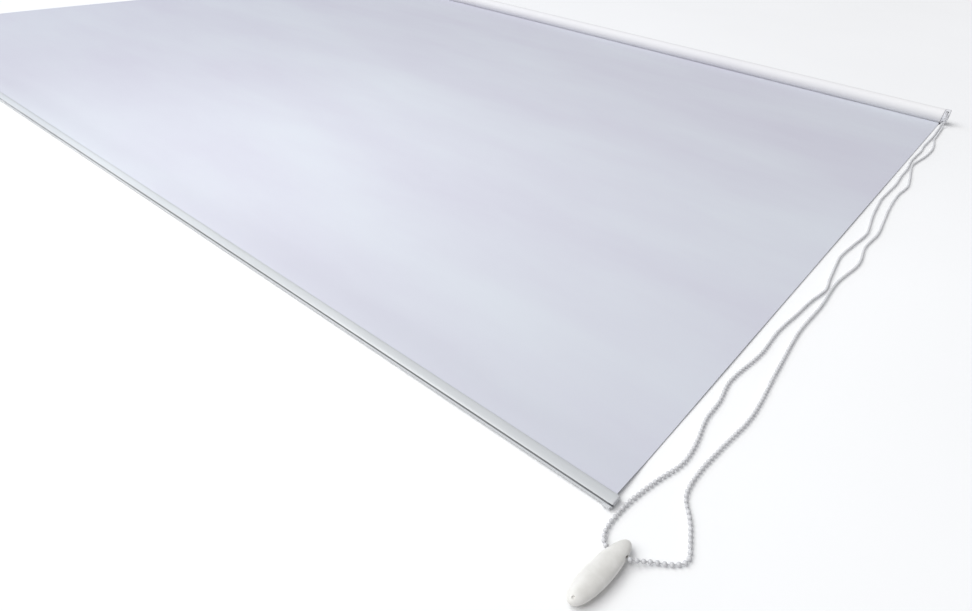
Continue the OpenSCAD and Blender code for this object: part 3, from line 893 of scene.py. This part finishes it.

# %% [markdown]
# ### The groove's painted shade
# Painted shade darkens the groove of the bar and of its caps: the colour falls off to dark grey with the
# depth below the groove's lips. On the bar, powder hardly reaches into the narrow slot, so part of the dark
# is bare metal.


# %% Paint shade into the groove
def paint_groove_shade(tree, principled, deep):
    """Mixes painted shade into the base colour inside the groove, by how far a point is below its lips."""
    spot = add(tree, "ShaderNodeTexCoord")
    mouth = (0, bar_y + groove_y, bar_mid_z + groove_z)
    off = add(tree, "ShaderNodeVectorMath", {0: spot.outputs["Object"]}, {1: mouth}, operation="SUBTRACT")
    inward = (0, sin(groove_turn), -cos(groove_turn))
    across = (0, cos(groove_turn), sin(groove_turn))
    depth, side = (add(tree, "ShaderNodeVectorMath", {0: off.outputs["Vector"]}, {1: way},
                       operation="DOT_PRODUCT") for way in (inward, across))
    fall = add(tree, "ShaderNodeMapRange", {"Value": depth.outputs["Value"]},
               {"From Min": 0.1 * MM, "From Max": 0.7 * MM, "To Min": 0.0, "To Max": 1.0})
    near = add(tree, "ShaderNodeMath", {0: side.outputs["Value"]}, operation="ABSOLUTE")
    inside = add(tree, "ShaderNodeMath", {0: near.outputs["Value"]}, {1: 0.85 * MM}, operation="LESS_THAN")
    share = add(tree, "ShaderNodeMath", {0: fall.outputs["Result"], 1: inside.outputs["Value"]},
                operation="MULTIPLY")
    lit = principled.inputs["Base Color"].links[0].from_socket
    mix = add(tree, "ShaderNodeMix", data_type="RGBA")
    tree.links.new(share.outputs["Value"], mix.inputs["Factor"])
    tree.links.new(lit, mix.inputs[6])
    mix.inputs[7].default_value = linear(deep)
    tree.links.new(mix.outputs[2], principled.inputs["Base Color"])


# The bar and its caps both get the groove's painted shade.
for material in (lacquer, caps):
    paint_groove_shade(material.node_tree, material.node_tree.nodes["Principled BSDF"], "#77797C")

# %% [markdown]
# ### Bare metals
# The tube is mill-finished aluminium with die lines along its length; the pin, screws and circlip are zinc
# plated steel; the springs are drawn wire.


# %% Metals
def metal(name, low, high, roughness, grain_mm, height_mm, stretch):
    """A metal's finish; its marks are drawn out along each axis by the stretch."""
    material, tree, principled = new_material(name, roughness, low, Metallic=1.0)
    mottle(tree, principled, 12, low, high, 3, stretch)
    grain(tree, principled, grain_mm, height_mm, stretch)
    wear(tree, principled, 8, roughness - 0.06, roughness + 0.1)
    return material


tube_metal = metal("mill_finish_aluminium", "#C3C5C8", "#D2D4D6", 0.34, 0.3, 0.006, (60, 1, 1))
zinc = metal("zinc_plated_steel", "#BEC0C4", "#CDCFD1", 0.3, 0.5, 0.004, (1, 1, 1))
wire = metal("drawn_spring_steel", "#8E9196", "#A0A3A7", 0.32, 0.2, 0.004, (1, 1, 1))

# %% [markdown]
# ### Who gets what
# Each piece and each imported node says its slot, and a slot has one finish. Two pieces differ: the roll
# turns the cloth's other face out, and the weight's lower half is painted darker, as painted shade on the
# side that is turned from the light.

# %% Give every piece and imported node its finish
FINISHES = {
    "housing_plastic": housing, "core_plastic": core, "spring_steel": wire, "zinc_steel": zinc,
    "tube_aluminium": tube_metal, "tape_film": tape, "blind_fabric": fabric, "wheel_plastic": wheel,
    "bead_plastic": beads, "bar_lacquer": lacquer, "cap_plastic": caps, "spline_plastic": spline_rod,
    "weight_plastic": weight
}


def paint(piece, slot):
    """Gives a piece its slot's finish, and no other."""
    piece.data.materials.clear()
    piece.data.materials.append(FINISHES[slot])


slots = {part["node"]: part["material_slot"] for part in frame["record"]["subparts"]}
for node, piece in frame["nodes"].items():
    paint(piece, slots[node])
for piece in bpy.context.scene.objects:
    if "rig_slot" in piece:
        paint(piece, piece["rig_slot"])
roll.data.materials[0] = rolled_fabric
# Painted shade: the weight's lower half gets the darker copy of its finish.
bpy.data.objects["weight_bottom_half"].data.materials[0] = weight_shade_half
print(len(slots), "packed nodes and their stand-ins painted with", len(FINISHES), "finishes")

# %% [markdown]
# ## Floor
# A very pale matt sheet, a hair below the blind so that the two faces never lie in one plane.

# %% Floor
bpy.ops.mesh.primitive_plane_add(size=30, location=(0, 0, -0.4 * MM))
floor = bpy.context.object
floor.name = "floor"
paper, tree, principled = new_material("matt_paper_floor", 0.95, "#F6F6F6", Specular_IOR_Level=0.1)
mottle(tree, principled, 700, "#F8F8F8", "#FAFAFA")
floor.data.materials.append(paper)

# %% [markdown]
# ## Light
# A pale room on every side fills the shadows. A wide soft sun from the front left gives the white pieces
# their shape: it stands high, so that the beads and the weight keep their outline on the white floor.
# Three panels then set how the cloth brightens from the roll's right end towards the left: a cool one at
# the left, as a window would, a low one at the front left that reaches the front of the roll, and a small
# one above the bar.


# %% Lights
def aimed(way):
    """The turn that points a light along a direction."""
    return way.to_track_quat("-Z", "Y").to_matrix().to_4x4()


def panel(name, place, target, size, watts, color):
    """A rectangle of light at a place, facing a target."""
    light = bpy.data.objects.new(name, bpy.data.lights.new(name, "AREA"))
    bpy.context.scene.collection.objects.link(light)
    light.data.shape = "RECTANGLE"
    light.data.size, light.data.size_y = size
    light.data.energy = watts
    light.data.color = linear(color)[:3]
    place, target = Vector(place), Vector(target)
    light.matrix_world = Matrix.Translation(place) @ aimed(target - place)
    print(name, watts, "W,", round((target - place).length, 2), "m away")


sky = bpy.data.worlds.new("pale_room")
bpy.context.scene.world = sky
sky.use_nodes = True
sky.node_tree.nodes["Background"].inputs["Color"].default_value = linear("#FAFBFF")
sky.node_tree.nodes["Background"].inputs["Strength"].default_value = 0.41
sun = bpy.data.objects.new("soft_key", bpy.data.lights.new("soft_key", "SUN"))
bpy.context.scene.collection.objects.link(sun)
sun.data.energy = 2.1
sun.data.angle = radians(50)
sun.matrix_world = aimed(Vector((0.45, 0.45, -0.77)))
panel("window", (-3.4, 0.2, 1.9), (-0.6, 0, 0), (2.2, 2.2), 16, "#CFE2FF")
panel("pool", (0.2, -0.7, 0.9), (0.2, -0.62, 0), (0.6, 0.4), 3.7, "#FAFFFB")
panel("low_window", (-2.6, -1.6, 0.5), (0.2, axis.y, 0), (0.9, 0.5), 11, "#F4F7FF")
bpy.context.scene.view_settings.view_transform = "Standard"
